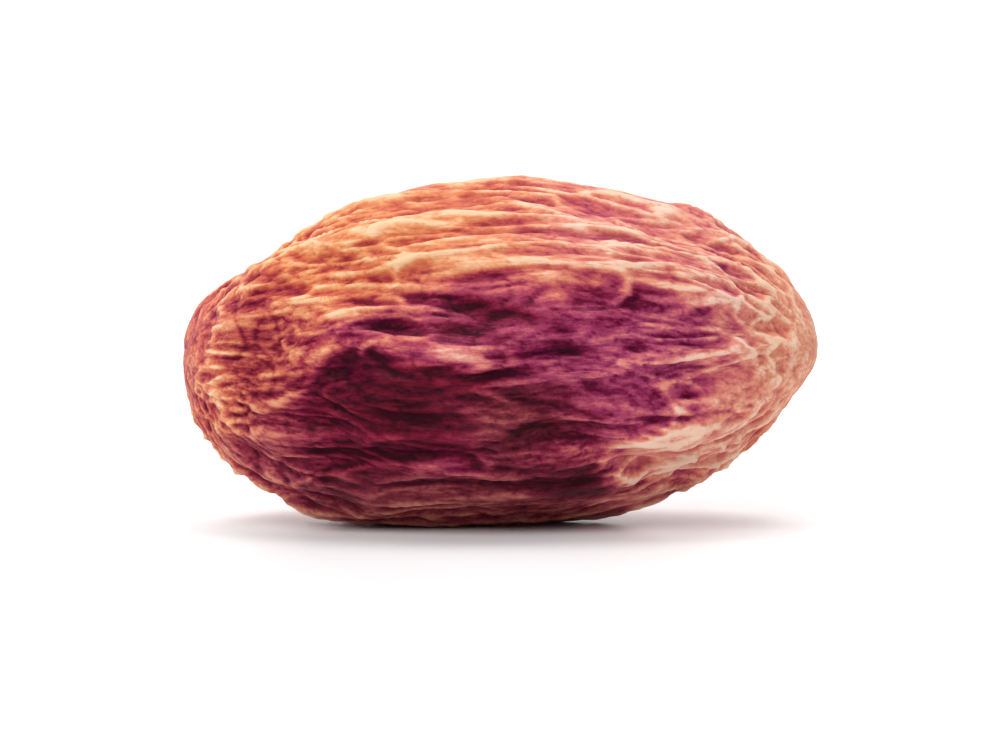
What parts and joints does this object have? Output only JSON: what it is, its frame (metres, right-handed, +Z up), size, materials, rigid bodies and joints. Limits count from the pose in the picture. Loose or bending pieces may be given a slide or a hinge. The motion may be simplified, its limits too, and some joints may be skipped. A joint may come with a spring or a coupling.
{
  "type": "shelled pistachio kernel",
  "caption": "Plump oval nut kernel in its wrinkled magenta skin, out of its shell, lying on its edge.",
  "frame": {"origin": "under the middle of the kernel's bounding box, on the surface it lies on", "axes": "+X along the kernel, from its blunt base to its tip; +Z up as it lies on its edge; the broad face with the dark patch looks along -Y"},
  "size_m": [0.017, 0.0088, 0.0093],
  "materials": {
    "kernel_skin": "satin, thin wrinkled seed skin"
  },
  "bodies": {
    "root": {"kernel": "kernel_skin"}
  },
  "joints": []
}
